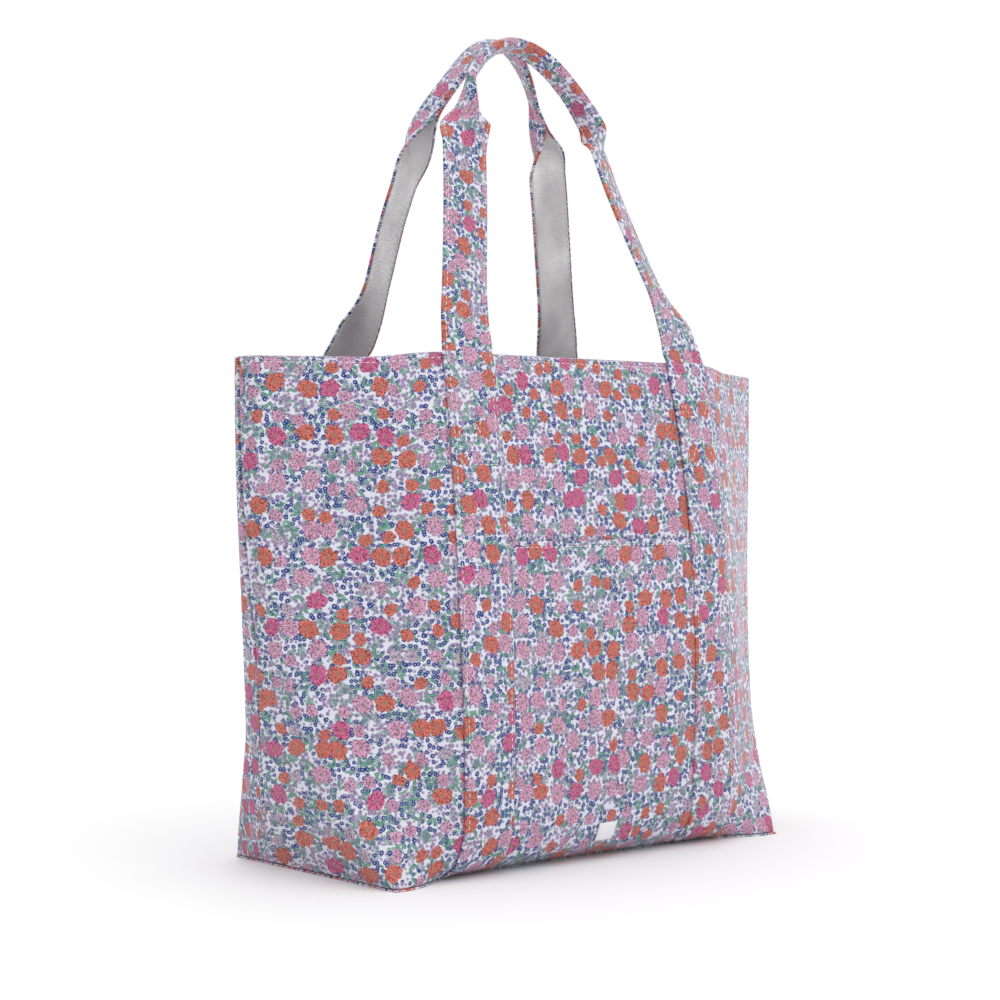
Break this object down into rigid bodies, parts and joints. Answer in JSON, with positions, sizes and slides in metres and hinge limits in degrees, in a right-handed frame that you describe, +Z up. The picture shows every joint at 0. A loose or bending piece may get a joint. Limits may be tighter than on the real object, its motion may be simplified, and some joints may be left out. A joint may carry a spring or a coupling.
{
  "type": "foldable tote bag",
  "caption": "Large open-top tote bag of printed coated cloth on a boxed base, with a front slip pocket and tall looped shoulder handles that fold down outside it.",
  "frame": {"origin": "middle of the underside of the base, on the surface the bag stands on", "axes": "+X to the bag's right as seen from its front, +Y to its back, +Z up through the open mouth"},
  "size_m": [0.516, 0.2104, 0.6277],
  "materials": {
    "printed_cloth": "satin",
    "grey_webbing": "satin",
    "grey_lining": "satin",
    "stiff_board": "matte",
    "label_ribbon": "satin"
  },
  "bodies": {
    "bag": {"front_panel": "printed_cloth", "back_panel": "printed_cloth", "base_panel": "printed_cloth", "front_rim_hem": "printed_cloth", "back_rim_hem": "printed_cloth", "front_lining": "grey_lining", "back_lining": "grey_lining", "base_lining": "grey_lining", "base_board": "stiff_board", "front_pocket": "printed_cloth", "front_label": "label_ribbon", "front_strap_left": "printed_cloth", "front_strap_right": "printed_cloth", "back_strap_left": "printed_cloth", "back_strap_right": "printed_cloth"},
    "front_handle": {"front_handle_cover": "printed_cloth", "front_handle_webbing": "grey_webbing"},
    "back_handle": {"back_handle_cover": "printed_cloth", "back_handle_webbing": "grey_webbing"}
  },
  "joints": [
    {"name": "front_handle_swing", "type": "hinge", "parent": "bag", "child": "front_handle", "pos_m": [0, -0.0782, 0.3803], "axis": [1, 0, 0], "range_deg": [0, 180]},
    {"name": "back_handle_swing", "type": "hinge", "parent": "bag", "child": "back_handle", "pos_m": [0, 0.0782, 0.3803], "axis": [-1, 0, 0], "range_deg": [0, 180]}
  ]
}
